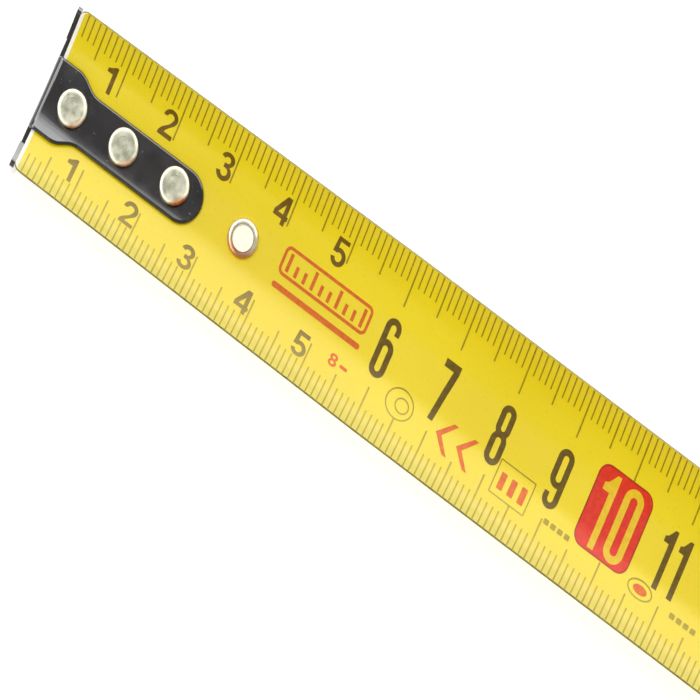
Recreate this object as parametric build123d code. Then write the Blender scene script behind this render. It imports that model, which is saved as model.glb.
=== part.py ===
from build123d import *
from math import asin, cos, sin, sqrt
import os

# A pocket tape measure with a 25 mm wide, 8 m long spring-steel blade, drawn out and locked.
# Frame: millimetres, +Z up, origin at the centre of the case's flat base.
# The blade runs along X: its end hook is on the -X side, the case on the +X side.

# ---- blade -----------------------------------------------------------------------------------
BLADE_WIDTH = 25.0          # along the arc of its cross-section
BLADE_THICKNESS = 0.3       # steel strip with its paint and clear film
BLADE_RADIUS = 14.75        # middle of the strip, concave side up
BLADE_Z = 9.75              # lowest line of the strip's middle
BLADE_OUT = 148.0           # scale zero (outside of the hook) to the front of the mouth
BLADE_CORNER = 1.2          # rounded corners at the blade's end

# ---- end hook, rivets and eyelet: places are distances from the scale zero ---------------------
HOOK_SHEET = 0.7            # sheet thickness, which is also the hook's play
HOOK_OFFSET_Y = -0.33       # the hook's tongue sits a little off the middle line of the blade
HOOK_HALF_WIDTH = 10.6
HOOK_BEND_RADIUS = 0.9      # outside of the bend between tongue and flange
HOOK_EDGE_RADIUS = 0.35     # rounded rim of the tongue's top
HOOK_FLANGE_BOTTOM = 0.9    # height over the surface that the case stands on
HOOK_NOTCH_WIDTH = 2.1      # relief notch in the flange, beside the tongue
HOOK_NOTCH_DEPTH = 1.4
SHOULDER_HALF_WIDTH = 4.78
SHOULDER_END = 3.6
NECK_START = 8.0
TONGUE_HALF_WIDTH = 3.33
TONGUE_ROUND_CENTRE = 24.3
TONGUE_ROUND_LENGTH = 3.4
RIVET_PLACES = (4.9, 13.9, 22.9)
RIVET_SHANK_RADIUS = 1.25
RIVET_HEAD_RADIUS = 2.28
RIVET_HEAD_HEIGHT = 0.7
RIVET_TAIL_RADIUS = 2.1
RIVET_TAIL_HEIGHT = 0.5
SLOT_CLEARANCE = 0.06       # between a rivet's shank and the slot in the tongue
EYELET_PLACE = 34.9
EYELET_BORE = 1.6
EYELET_TUBE_RADIUS = 1.9
EYELET_FLANGE_RADIUS = 2.35
EYELET_FLANGE_HEIGHT = 0.75

# ---- case --------------------------------------------------------------------------------------
CASE_LENGTH = 78.0
CASE_HEIGHT = 74.0
CASE_WIDTH = 42.0
SEAM_Y = 5.0                # the deep body is below this, the cover above
NOSE_TOP = 30.0             # height where the sloping front starts
SLOPE_TOP_X = -26.0         # where the sloping front would meet the top
CORNER_RADII = (5.0, 12.0, 22.0, 12.0, 12.0)
SIDE_ROUNDING = 3.5
GRIP_THICKNESS = 1.4        # soft overmould
WALL = 1.8                  # hard shell under it
CAVITY_HALF_WIDTH = 17.0
GRIP_FRONT_X = -23.0
GRIP_BOTTOM_Z = 2.5
SIDE_DISC_RADIUS = 27.0     # hard side panel that the overmould leaves open
LABEL_RADIUS = 24.0
LABEL_THICKNESS = 0.6
MOUTH_BOTTOM = 8.2
MOUTH_TOP = 16.8
MOUTH_HALF_WIDTH = 13.4
LIP_DEPTH = 15.0            # the solid sill under the mouth, front to back
GUARD_THICKNESS = 0.8
BUMPER_PROUD = 1.0
BUMPER_Z = 6.2
BUMPER_PEGS = (-8.0, 1.0)   # both on the deep body's side of the seam

# ---- reel ----------------------------------------------------------------------------------------
REEL_X = 3.0
DRUM_RADIUS = 20.0
DRUM_WALL = 1.4
COIL_RADIUS = 28.2
FLANGE_RADIUS = 29.5
FLANGE_THICKNESS = 1.2
REEL_INSIDE_HALF = 12.7
ARBOR_RADIUS = 3.5
ARBOR_SOCKET = 2.4
RUNNING_CLEARANCE = 0.05
SPRING_PACK = (11.0, 18.5)  # inner and outer radius of the wound power spring
SPRING_HALF_WIDTH = 9.5
SPRING_STRIP = 0.5

# ---- fasteners, lock and belt clip --------------------------------------------------------------
SCREW_PLACES = ((30.0, 9.5), (27.5, 62.5), (-20.0, 65.5), (-28.5, 22.5))
SCREW_SHANK_RADIUS = 1.25
SCREW_HEAD_RADIUS = 2.5
SCREW_HEAD_HEIGHT = 1.8
SCREW_LENGTH = 24.0
BOSS_RADIUS = 3.2
LOCK_TRAVEL = 5.5
LOCK_PLACE = 15.0           # middle of the button, measured up the slope, when locked
LOCK_PAD = (17.0, 15.0, 3.6)
LOCK_STEM = (7.0, 6.0)
LOCK_GAP = 0.3
LOCK_BAR = (0.5, 20.5)      # the retainer reaches from the brake to past the stem, up the slope
BRAKE_X = (-34.9, -31.9)
BRAKE_FEET = (6.2, 10.0)
BRAKE_TOP = 29.0
BRAKE_GAP = 0.25
BRAKE_TRAVEL = 2.2
BRAKE_PAD_THICKNESS = 0.9
CLIP_X = 3.0
CLIP_WIDTH = 16.0
CLIP_SHEET = 1.2
CLIP_GAP = 5.4
CLIP_SCREW_Z = 59.0
CLIP_SCREW_RADIUS = 1.5

# ---- worked out ---------------------------------------------------------------------------------
MOUTH_X = -CASE_LENGTH / 2
HOOK_X = MOUTH_X - BLADE_OUT
SIDE_Y = CASE_WIDTH / 2
BLADE_CENTRE_Z = BLADE_Z + BLADE_RADIUS
BLADE_TOP_RADIUS = BLADE_RADIUS - BLADE_THICKNESS / 2
BLADE_BOTTOM_RADIUS = BLADE_RADIUS + BLADE_THICKNESS / 2
BLADE_TOP_Z = BLADE_Z + BLADE_THICKNESS / 2
BLADE_BOTTOM_Z = BLADE_Z - BLADE_THICKNESS / 2
REEL_Z = BLADE_TOP_Z + COIL_RADIUS + 0.05
BLADE_TRAVEL = BLADE_OUT - HOOK_SHEET - BUMPER_PROUD - 0.3


def arc_band(radius_in, radius_out, half_angle, centre_z):
    """A piece of a ring in the YZ plane, opening upwards, as a face in that plane's own axes."""

    def at(radius, angle):
        return (radius * sin(angle), centre_z - radius * cos(angle))

    outer = ThreePointArc(at(radius_out, -half_angle), at(radius_out, 0), at(radius_out, half_angle))
    side = Line(at(radius_out, half_angle), at(radius_in, half_angle))
    inner = ThreePointArc(at(radius_in, half_angle), at(radius_in, 0), at(radius_in, -half_angle))
    back = Line(at(radius_in, -half_angle), at(radius_out, -half_angle))
    return make_face([outer, side, inner, back])


def along_x(face, x_from, x_to):
    """Extrudes a face of the YZ plane from one X to another."""
    return extrude(Plane.YZ.offset(x_from) * face, x_to - x_from)


def along_y(face, y_from, y_to):
    """Extrudes a face of the XZ plane from one Y to another."""
    return extrude(Plane.XZ.offset(-y_to) * face, y_to - y_from)


def rod_y(radius, x, z, y_from, y_to):
    return along_y(Pos(x, z) * Circle(radius), y_from, y_to)


def rod_z(radius, x, y, z_from, z_to):
    return extrude(Plane.XY.offset(z_from) * Pos(x, y) * Circle(radius), z_to - z_from)


def block(x_from, x_to, y_from, y_to, z_from, z_to):
    size = (x_to - x_from, y_to - y_from, z_to - z_from)
    centre = ((x_from + x_to) / 2, (y_from + y_to) / 2, (z_from + z_to) / 2)
    return Pos(*centre) * Box(*size)


# ---- blade end ------------------------------------------------------------------------------------
def blade_hole(place, radius):
    return rod_z(radius, HOOK_X + place, 0, BLADE_BOTTOM_Z - 2, BLADE_TOP_Z + 2)


def blade_section(x, radius):
    """The strip's cross-section at one X, bent to the given radius, on its own plane."""
    half_angle = BLADE_WIDTH / 2 / radius
    half = BLADE_THICKNESS / 2
    face = arc_band(radius - half, radius + half, half_angle, BLADE_Z + radius)
    return Plane.YZ.offset(x) * face


def make_blade():
    x_end = HOOK_X + HOOK_SHEET
    x_flatten = MOUTH_X + 6
    strip = extrude(blade_section(x_end, BLADE_RADIUS), x_flatten - x_end)
    x_half, x_flat = x_flatten + 15, x_flatten + 27
    curved, opened, flat = (x_flatten, BLADE_RADIUS), (x_half, 45), (x_flat, 3000)
    strip += loft([blade_section(x, radius) for x, radius in (curved, opened, flat)])
    strip += extrude(blade_section(x_flat, 3000), REEL_X - x_flat)
    corner_y = BLADE_RADIUS * sin(BLADE_WIDTH / 2 / BLADE_RADIUS)
    for side in (-1, 1):
        corner = block(x_end - 1, x_end + BLADE_CORNER, corner_y - BLADE_CORNER, corner_y + 1, 5, 25)
        corner -= rod_z(BLADE_CORNER, x_end + BLADE_CORNER, corner_y - BLADE_CORNER, 4, 26)
        strip -= corner if side > 0 else mirror(corner, Plane.XZ)
    for place in RIVET_PLACES:
        strip -= blade_hole(place, RIVET_SHANK_RADIUS)
    return strip - blade_hole(EYELET_PLACE, EYELET_TUBE_RADIUS)


def tongue_outline():
    """The tongue seen from above: square shoulders, a soft step in, and a round end."""
    tip = HOOK_X + TONGUE_ROUND_CENTRE
    wide = SHOULDER_HALF_WIDTH
    slim = TONGUE_HALF_WIDTH
    shoulder = HOOK_X + SHOULDER_END
    neck = HOOK_X + NECK_START
    step = [Spline((shoulder, s * wide), (neck, s * slim), tangents=((1, 0), (1, 0))) for s in (-1, 1)]
    edges = [
        Line((HOOK_X, wide), (HOOK_X, -wide)),
        Line((HOOK_X, -wide), (shoulder, -wide)),
        step[0],
        Line((neck, -slim), (tip, -slim)),
        ThreePointArc((tip, -slim), (tip + TONGUE_ROUND_LENGTH, 0), (tip, slim)),
        Line((tip, slim), (neck, slim)),
        step[1],
        Line((shoulder, wide), (HOOK_X, wide)),
    ]
    return make_face(edges)


def blade_top_at(y):
    return BLADE_CENTRE_Z - sqrt(BLADE_TOP_RADIUS**2 - y**2)


def flange_outline():
    """The hook's flange seen from the front: it follows the blade and has a straight lower edge."""
    left = -HOOK_HALF_WIDTH
    right = HOOK_HALF_WIDTH
    low = HOOK_FLANGE_BOTTOM
    edges = [
        ThreePointArc((left, blade_top_at(left)), (0, BLADE_TOP_Z), (right, blade_top_at(right))),
        Line((right, blade_top_at(right)), (right, low + 5)),
        Line((right, low + 5), (right - 2.2, low)),
        Line((right - 2.2, low), (left + 2.2, low)),
        Line((left + 2.2, low), (left, low + 5)),
        Line((left, low + 5), (left, blade_top_at(left))),
    ]
    return make_face(edges)


def make_flange():
    """The flange, with softened corners and a relief notch on each side of the tongue."""
    flange = along_x(flange_outline(), HOOK_X, HOOK_X + HOOK_SHEET)
    corners = flange.edges().filter_by(Axis.X).sort_by(Axis.Z)
    flange = fillet(corners[:4], 1.0)
    flange = fillet(flange.edges().filter_by(Axis.X).sort_by(Axis.Z)[-2:], 0.6)
    half = HOOK_NOTCH_WIDTH / 2
    for side in (-1, 1):
        middle = HOOK_OFFSET_Y + side * (SHOULDER_HALF_WIDTH + half)
        floor = blade_top_at(middle) - HOOK_NOTCH_DEPTH
        flange -= block(HOOK_X - 1, HOOK_X + 2, middle - half, middle + half, floor, floor + 6)
    return flange


def make_end_hook():
    """Tongue and flange of one bent sheet, with a slot in the tongue at each rivet."""
    half_angle = asin(6.0 / BLADE_TOP_RADIUS)
    sheet = arc_band(BLADE_TOP_RADIUS - HOOK_SHEET, BLADE_TOP_RADIUS, half_angle, BLADE_CENTRE_Z)
    tongue = along_x(sheet, HOOK_X, HOOK_X + 30)
    tongue &= extrude(Plane.XY.offset(5) * Pos(0, HOOK_OFFSET_Y) * tongue_outline(), 15)
    hook = tongue + make_flange()
    arcs = hook.edges().filter_by(GeomType.CIRCLE)
    bend = arcs.filter_by_position(Axis.X, HOOK_X - 0.01, HOOK_X + 0.01)
    hook = fillet(bend.sort_by(Edge.length)[-1], HOOK_BEND_RADIUS)
    top_radius = BLADE_TOP_RADIUS - HOOK_SHEET
    curved_faces = hook.faces().filter_by(GeomType.CYLINDER)
    tops = [face for face in curved_faces if abs(face.radius - top_radius) < 0.001]
    hook = fillet(tops[0].edges().sort_by(Axis.X)[1:], HOOK_EDGE_RADIUS)
    for place in RIVET_PLACES:
        slot_radius = RIVET_SHANK_RADIUS + SLOT_CLEARANCE
        slot_middle = HOOK_X + place + HOOK_SHEET / 2
        slot = SlotCenterToCenter(HOOK_SHEET, 2 * slot_radius)
        hook -= extrude(Plane.XY.offset(BLADE_Z) * Pos(slot_middle, 0) * slot, 4)
    return hook


def make_hook_rivets():
    tongue_top_radius = BLADE_TOP_RADIUS - HOOK_SHEET
    seat = BLADE_CENTRE_Z - sqrt(tongue_top_radius**2 - RIVET_HEAD_RADIUS**2) + 0.05
    rivets = []
    for place in RIVET_PLACES:
        x = HOOK_X + place
        head = rod_z(RIVET_HEAD_RADIUS, x, 0, seat, seat + RIVET_HEAD_HEIGHT)
        head = fillet(head.edges().sort_by(Axis.Z)[-1], 0.3)
        head -= rod_z(1.25, x, 0, seat + RIVET_HEAD_HEIGHT - 0.12, seat + 2)
        shank = rod_z(RIVET_SHANK_RADIUS, x, 0, BLADE_BOTTOM_Z - 0.1, seat + 0.1)
        tail = rod_z(RIVET_TAIL_RADIUS, x, 0, BLADE_BOTTOM_Z - RIVET_TAIL_HEIGHT, BLADE_BOTTOM_Z)
        tail = fillet(tail.edges().sort_by(Axis.Z)[0], 0.3)
        rivets.append(head + shank + tail)
    return Compound(children=rivets)


def make_eyelet():
    x = HOOK_X + EYELET_PLACE
    seat = BLADE_CENTRE_Z - sqrt(BLADE_TOP_RADIUS**2 - EYELET_FLANGE_RADIUS**2) + 0.02
    flange = rod_z(EYELET_FLANGE_RADIUS, x, 0, seat, seat + EYELET_FLANGE_HEIGHT)
    flange = fillet(flange.edges().sort_by(Axis.Z)[-1], 0.45)
    tube = rod_z(EYELET_TUBE_RADIUS, x, 0, BLADE_BOTTOM_Z - 0.1, seat + 0.1)
    curl = rod_z(EYELET_FLANGE_RADIUS - 0.1, x, 0, BLADE_BOTTOM_Z - 0.45, BLADE_BOTTOM_Z)
    return flange + tube + curl - rod_z(EYELET_BORE, x, 0, BLADE_BOTTOM_Z - 2, seat + 2)


# ---- case -------------------------------------------------------------------------------------------
def case_outline(inset):
    """The case seen from the side, pulled in by the given amount."""
    half = CASE_LENGTH / 2
    corners = (
        (-half, 0),
        (half, 0),
        (half, CASE_HEIGHT),
        (SLOPE_TOP_X, CASE_HEIGHT),
        (-half, NOSE_TOP),
    )
    face = make_face(Polyline(*corners, close=True))
    for corner, radius in zip(corners, CORNER_RADII):
        nearest = face.vertices().sort_by_distance(Vector(*corner, 0))[0]
        face = fillet(nearest, radius)
    return offset(face, -inset) if inset else face


def rounded_case(inset):
    """The whole case as one block with soft side edges, pulled in by the given amount."""
    solid = along_y(case_outline(inset), -SIDE_Y + inset, SIDE_Y - inset)
    rims = solid.faces().filter_by(Axis.Y).edges()
    return fillet(rims, SIDE_ROUNDING - inset)


def slope_frame(distance):
    """A plane on the sloping front: its X runs up the slope, its Z out of the case."""
    rise = CASE_HEIGHT - NOSE_TOP
    run = SLOPE_TOP_X + CASE_LENGTH / 2
    length = sqrt(rise**2 + run**2)
    up = Vector(run / length, 0, rise / length)
    out = Vector(-rise / length, 0, run / length)
    foot = Vector(-CASE_LENGTH / 2, 0, NOSE_TOP)
    return Plane(origin=foot + up * distance, x_dir=up, z_dir=out)


def slope_block(distance, length, width, out_from, out_to):
    """A block on the slope, centred at a distance up it, between two heights over the surface."""
    base = slope_frame(distance).offset(out_from)
    return extrude(base * Rectangle(length, width), out_to - out_from)


def screw_bosses():
    bosses = None
    for x, z in SCREW_PLACES:
        boss = rod_y(BOSS_RADIUS, x, z, -SIDE_Y + 2, SIDE_Y - 2)
        bosses = boss if bosses is None else bosses + boss
    return bosses


def make_cavity():
    """The room inside the case: all of it but the sill under the mouth and the screw bosses."""
    room = along_y(case_outline(GRIP_THICKNESS + WALL), -CAVITY_HALF_WIDTH, CAVITY_HALF_WIDTH)
    room -= block(MOUTH_X - 1, MOUTH_X + LIP_DEPTH, -SIDE_Y, SIDE_Y, 0, MOUTH_BOTTOM - GUARD_THICKNESS)
    return room - screw_bosses()


def hole_in_case():
    """Everything that is cut through the shells: mouth, arbor sockets, lock slot and screw holes."""
    mouth = block(MOUTH_X - 2, MOUTH_X + 5, -MOUTH_HALF_WIDTH, MOUTH_HALF_WIDTH, MOUTH_BOTTOM, MOUTH_TOP)
    guard_seat = block(
        MOUTH_X - 2, MOUTH_X + LIP_DEPTH, -MOUTH_HALF_WIDTH, MOUTH_HALF_WIDTH,
        MOUTH_BOTTOM - GUARD_THICKNESS, MOUTH_BOTTOM,
    )
    sockets = rod_y(
        ARBOR_RADIUS, REEL_X, REEL_Z, -CAVITY_HALF_WIDTH - ARBOR_SOCKET, CAVITY_HALF_WIDTH + ARBOR_SOCKET
    )
    slot_length = LOCK_STEM[0] + LOCK_TRAVEL + 1
    slot = slope_block(LOCK_PLACE + LOCK_TRAVEL / 2, slot_length, LOCK_STEM[1] + 0.6, -6, 3)
    label_seat = rod_y(LABEL_RADIUS, REEL_X, REEL_Z, -SIDE_Y - 1, -SIDE_Y + LABEL_THICKNESS)
    arbor_screw = rod_y(SCREW_SHANK_RADIUS, REEL_X, REEL_Z, -SIDE_Y, 0)
    arbor_screw += rod_y(SCREW_HEAD_RADIUS, REEL_X, REEL_Z, -SIDE_Y, -SIDE_Y + LABEL_THICKNESS + 1)
    clip_screw = rod_y(CLIP_SCREW_RADIUS, CLIP_X, CLIP_SCREW_Z, CAVITY_HALF_WIDTH - 1, SIDE_Y + 1)
    holes = mouth + guard_seat + sockets + slot + label_seat + arbor_screw + clip_screw
    for y in BUMPER_PEGS:
        holes += along_x(Pos(y, BUMPER_Z) * Circle(1.0), MOUTH_X - 1, MOUTH_X + 3)
    for x, z in SCREW_PLACES:
        holes += rod_y(SCREW_SHANK_RADIUS, x, z, screw_tip_y(), SIDE_Y)
        holes += rod_y(SCREW_HEAD_RADIUS, x, z, SIDE_Y - SCREW_HEAD_HEIGHT - 0.4, SIDE_Y + 1)
    return holes


def screw_tip_y():
    return SIDE_Y - 0.4 - SCREW_LENGTH


def side_panels():
    """What the soft overmould leaves open: both side discs, the nose and the base."""
    discs = rod_y(SIDE_DISC_RADIUS, REEL_X, REEL_Z, -SIDE_Y - 1, SIDE_Y + 1)
    nose = block(MOUTH_X - 1, GRIP_FRONT_X, -SIDE_Y - 1, SIDE_Y + 1, -1, CASE_HEIGHT + 1)
    base = block(MOUTH_X - 1, -MOUTH_X + 1, -SIDE_Y - 1, SIDE_Y + 1, -1, GRIP_BOTTOM_Z)
    return discs + nose + base


def body_half():
    return block(-60, 60, -40, SEAM_Y, -10, 100)


def cover_half():
    return block(-60, 60, SEAM_Y, 40, -10, 100)


def make_shells():
    envelope = rounded_case(0)
    grip = envelope - rounded_case(GRIP_THICKNESS) - side_panels()
    holes = hole_in_case()
    shell = envelope - grip - make_cavity() - holes
    grip -= holes
    return {
        "case_body": shell & body_half(),
        "case_cover": shell & cover_half(),
        "body_grip": grip & body_half(),
        "cover_grip": grip & cover_half(),
    }


def make_mouth_guard():
    """The steel wear strip that the blade slides over, let into the sill."""
    return block(
        MOUTH_X, MOUTH_X + LIP_DEPTH, -MOUTH_HALF_WIDTH, MOUTH_HALF_WIDTH,
        MOUTH_BOTTOM - GUARD_THICKNESS, MOUTH_BOTTOM,
    )


def make_mouth_bumper():
    """The rubber strip under the mouth that the hook runs against, with two pegs in the sill."""
    face = Pos(0, BUMPER_Z) * RectangleRounded(21.0, 2.4, 1.1)
    strip = along_x(face, MOUTH_X - BUMPER_PROUD, MOUTH_X)
    for y in BUMPER_PEGS:
        strip += along_x(Pos(y, BUMPER_Z) * Circle(1.0), MOUTH_X - 0.5, MOUTH_X + 3)
    return strip


def cross_recess(x, z, y_face, depth):
    """The cross that a screwdriver goes in, cut from the +Y side of a screw's head."""
    bars = block(x - 1.4, x + 1.4, y_face - depth, y_face + 1, z - 0.35, z + 0.35)
    return bars + block(x - 0.35, x + 0.35, y_face - depth, y_face + 1, z - 1.4, z + 1.4)


def make_screw(x, z, head_y, length, shank_radius, head_radius, head_height):
    """A pan-head screw along Y whose head's outer face is at head_y."""
    head = rod_y(head_radius, x, z, head_y - head_height, head_y)
    head = fillet(head.edges().filter_by(GeomType.CIRCLE).sort_by(Axis.Y)[-1], 0.6)
    shank = rod_y(shank_radius, x, z, head_y - length, head_y - head_height)
    return head + shank - cross_recess(x, z, head_y, 0.9)


def make_case_screws():
    screws = []
    for x, z in SCREW_PLACES:
        size = (SCREW_SHANK_RADIUS, SCREW_HEAD_RADIUS, SCREW_HEAD_HEIGHT)
        screws.append(make_screw(x, z, SIDE_Y - 0.4, SCREW_LENGTH, *size))
    return Compound(children=screws)


def make_side_label():
    return rod_y(LABEL_RADIUS, REEL_X, REEL_Z, -SIDE_Y, -SIDE_Y + LABEL_THICKNESS)


# ---- reel ----------------------------------------------------------------------------------------------
def ring_y(radius_in, radius_out, y_from, y_to):
    face = Pos(REEL_X, REEL_Z) * (Circle(radius_out) - Circle(radius_in))
    return along_y(face, y_from, y_to)


def make_arbor():
    """The fixed post that the reel turns on, slotted for the power spring's inner end."""
    y_end = CAVITY_HALF_WIDTH + ARBOR_SOCKET
    post = rod_y(ARBOR_RADIUS, REEL_X, REEL_Z, -y_end, y_end)
    half = SPRING_STRIP / 2 + 0.1
    slot = block(REEL_X, REEL_X + 5, -SPRING_HALF_WIDTH - 1, y_end + 1, REEL_Z - half, REEL_Z + half)
    return post - slot - rod_y(SCREW_SHANK_RADIUS, REEL_X, REEL_Z, -y_end - 1, -12)


def make_arbor_screw():
    """The screw that holds the arbor, hidden under the side label."""
    head_y = -SIDE_Y + LABEL_THICKNESS
    screw = rod_y(SCREW_SHANK_RADIUS, REEL_X, REEL_Z, head_y + 1, -12)
    return screw + rod_y(SCREW_HEAD_RADIUS, REEL_X, REEL_Z, head_y, head_y + 1)


def make_reel():
    bore = ARBOR_RADIUS + RUNNING_CLEARANCE
    web = ring_y(bore, FLANGE_RADIUS, -REEL_INSIDE_HALF - FLANGE_THICKNESS, -REEL_INSIDE_HALF)
    return web + ring_y(DRUM_RADIUS - DRUM_WALL, DRUM_RADIUS, -REEL_INSIDE_HALF, REEL_INSIDE_HALF)


def make_reel_cover():
    bore = ARBOR_RADIUS + RUNNING_CLEARANCE
    disc = ring_y(bore, FLANGE_RADIUS, REEL_INSIDE_HALF, REEL_INSIDE_HALF + FLANGE_THICKNESS)
    lip_radius = DRUM_RADIUS - DRUM_WALL
    return disc + ring_y(lip_radius - 1.5, lip_radius, REEL_INSIDE_HALF - 1.5, REEL_INSIDE_HALF)


def make_blade_coil():
    return ring_y(DRUM_RADIUS, COIL_RADIUS, -BLADE_WIDTH / 2, BLADE_WIDTH / 2)


def make_power_spring():
    """The wound pack of the spring and its inner end, which runs in to the arbor's slot."""
    pack = ring_y(SPRING_PACK[0], SPRING_PACK[1], -SPRING_HALF_WIDTH, SPRING_HALF_WIDTH)
    half = SPRING_STRIP / 2
    inner = block(
        REEL_X + 1.5, REEL_X + SPRING_PACK[0] + 0.3, -SPRING_HALF_WIDTH, SPRING_HALF_WIDTH,
        REEL_Z - half, REEL_Z + half,
    )
    return pack + inner


# ---- lock ------------------------------------------------------------------------------------------------
def make_lock_button():
    length, width, height = LOCK_PAD
    pad = slope_block(LOCK_PLACE, length, width, LOCK_GAP, LOCK_GAP + height)
    top_edges = pad.faces().sort_by_distance(slope_frame(LOCK_PLACE).offset(20).origin)[0].edges()
    pad = fillet(top_edges, 1.2)
    for step in range(-2, 3):
        groove_at = LOCK_PLACE + 3.0 * step
        pad -= slope_block(groove_at, 1.0, width - 4, LOCK_GAP + height - 0.7, LOCK_GAP + height + 1)
    stem_end = -GRIP_THICKNESS - WALL - 2
    stem = slope_block(LOCK_PLACE, LOCK_STEM[0], LOCK_STEM[1], stem_end, LOCK_GAP + 0.2)
    return pad + stem


def make_lock_retainer():
    """The bar on the stem's inner end: it keeps the button on the case and pushes the brake down."""
    top = -GRIP_THICKNESS - WALL - LOCK_GAP
    low, high = LOCK_BAR
    plate = slope_block((low + high) / 2, high - low, LOCK_STEM[1] + 5, top - 1.2, top)
    return plate - slope_block(LOCK_PLACE, LOCK_STEM[0], LOCK_STEM[1], top - 2, top + 1)


def brake_under(lift):
    """The space on and over the blade's top face, raised by lift, that the brake may not fill."""
    radius = BLADE_TOP_RADIUS - lift
    return rod_x(radius, BLADE_CENTRE_Z, BRAKE_X[0] - 1, BRAKE_X[1] + 1)


def rod_x(radius, z, x_from, x_to):
    return along_x(Pos(0, z) * Circle(radius), x_from, x_to)


def make_brake_shoe():
    """A plate with two feet that straddle the hook's tongue when the blade is in."""
    foot_in, foot_out = BRAKE_FEET
    plate = block(*BRAKE_X, -foot_out, foot_out, BLADE_Z, BRAKE_TOP)
    plate -= block(BRAKE_X[0] - 1, BRAKE_X[1] + 1, -foot_in, foot_in, 0, MOUTH_TOP)
    return plate & brake_under(BRAKE_GAP + BRAKE_PAD_THICKNESS)


def make_brake_pads():
    """The rubber facings under the two feet."""
    foot_in, foot_out = BRAKE_FEET
    facing = brake_under(BRAKE_GAP) - brake_under(BRAKE_GAP + BRAKE_PAD_THICKNESS)
    pads = [facing & block(*BRAKE_X, foot_in, foot_out, 0, BLADE_CENTRE_Z)]
    pads.append(facing & block(*BRAKE_X, -foot_out, -foot_in, 0, BLADE_CENTRE_Z))
    return Compound(children=[pad.solids()[0] for pad in pads])


# ---- belt clip -----------------------------------------------------------------------------------------
def make_belt_clip():
    """A bent spring-steel strip: screwed on at the top, open at the bottom, with a flared tip."""
    lie = SIDE_Y + CLIP_SHEET / 2
    out = SIDE_Y + CLIP_GAP + CLIP_SHEET / 2
    route = FilletPolyline(
        (lie, 64), (lie, 54), (out, 47.5), (out, 24), (lie + 1, 16.5), (lie + 3.2, 11.5), radius=2.2
    )
    strip = along_x(trace(route, CLIP_SHEET), CLIP_X - CLIP_WIDTH / 2, CLIP_X + CLIP_WIDTH / 2)
    return strip - rod_y(CLIP_SCREW_RADIUS, CLIP_X, CLIP_SCREW_Z, SIDE_Y - 1, SIDE_Y + 3)


def make_clip_screw():
    head_y = SIDE_Y + CLIP_SHEET + 1.6
    length = head_y - CAVITY_HALF_WIDTH
    return make_screw(CLIP_X, CLIP_SCREW_Z, head_y, length, CLIP_SCREW_RADIUS, 3.0, 1.6)


NODES = {
    "blade": make_blade(),
    "end_hook": make_end_hook(),
    "hook_rivets": make_hook_rivets(),
    "eyelet": make_eyelet(),
    "mouth_guard": make_mouth_guard(),
    "mouth_bumper": make_mouth_bumper(),
    "case_screws": make_case_screws(),
    "side_label": make_side_label(),
    "arbor": make_arbor(),
    "arbor_screw": make_arbor_screw(),
    "reel": make_reel(),
    "reel_cover": make_reel_cover(),
    "blade_coil": make_blade_coil(),
    "power_spring": make_power_spring(),
    "lock_button": make_lock_button(),
    "lock_retainer": make_lock_retainer(),
    "brake_shoe": make_brake_shoe(),
    "brake_pads": make_brake_pads(),
    "belt_clip": make_belt_clip(),
    "clip_screw": make_clip_screw(),
}
NODES.update(make_shells())

os.makedirs("parts", exist_ok=True)
for name, shape in NODES.items():
    export_step(shape, f"parts/{name}.step")
print("blade travel", round(BLADE_TRAVEL, 2), "reel centre", REEL_X, round(REEL_Z, 3))
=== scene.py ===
import math

import bmesh
import bpy
from mathutils import Euler, Matrix, Vector


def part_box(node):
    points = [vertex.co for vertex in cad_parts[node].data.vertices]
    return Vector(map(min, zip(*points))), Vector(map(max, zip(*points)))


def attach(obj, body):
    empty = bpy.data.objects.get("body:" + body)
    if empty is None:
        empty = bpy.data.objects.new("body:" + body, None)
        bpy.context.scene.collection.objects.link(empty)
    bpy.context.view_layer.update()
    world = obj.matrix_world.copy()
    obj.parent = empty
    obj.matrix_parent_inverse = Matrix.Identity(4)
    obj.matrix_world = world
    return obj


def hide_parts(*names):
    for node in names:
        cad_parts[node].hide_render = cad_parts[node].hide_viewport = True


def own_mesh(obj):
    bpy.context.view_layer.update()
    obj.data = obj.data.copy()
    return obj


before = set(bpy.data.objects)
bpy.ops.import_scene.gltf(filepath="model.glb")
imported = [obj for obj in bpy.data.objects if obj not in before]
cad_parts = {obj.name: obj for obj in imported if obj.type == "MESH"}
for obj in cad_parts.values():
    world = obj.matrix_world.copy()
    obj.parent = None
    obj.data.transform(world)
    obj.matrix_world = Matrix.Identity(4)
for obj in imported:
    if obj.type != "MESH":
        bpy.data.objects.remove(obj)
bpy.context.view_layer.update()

MM = 0.001

# ---- driving sizes, in metres, in the row frame -------------------------------------------------
HOOK_LOW, HOOK_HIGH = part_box("end_hook")
BLADE_LOW, BLADE_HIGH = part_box("blade")
CASE_LOW, CASE_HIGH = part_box("case_body")
EYELET_LOW, EYELET_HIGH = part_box("eyelet")
ZERO_X = HOOK_LOW.x                     # scale zero: the outside of the hook
BLADE_THICKNESS = 0.3 * MM
BLADE_RADIUS = 14.75 * MM               # middle of the strip
BLADE_HALF_ARC = 12.5 * MM
BLADE_END_X = BLADE_HIGH.x
SURFACE_Z = BLADE_LOW.z + BLADE_THICKNESS
BLADE_START = BLADE_LOW.x - ZERO_X      # the strip's own end, behind the hook's flange
MOUTH_AT = CASE_LOW.x - ZERO_X
SPLIT_AT = 39.8 * MM                    # the tip up to here stays rigid when the blade runs in
FLATTEN_FROM = CASE_LOW.x + 6 * MM      # in the case the strip's hollow opens out flat
FLATTEN_TO = CASE_LOW.x + 33 * MM
CUT_STEP = 0.25 * MM                    # flat shapes are cut this fine before they are bent
END_PINCH = 0.8 * MM                    # the strip's edges draw in this much at its free end,
PINCH_LENGTH = 60 * MM                  # less and less up to here
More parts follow.
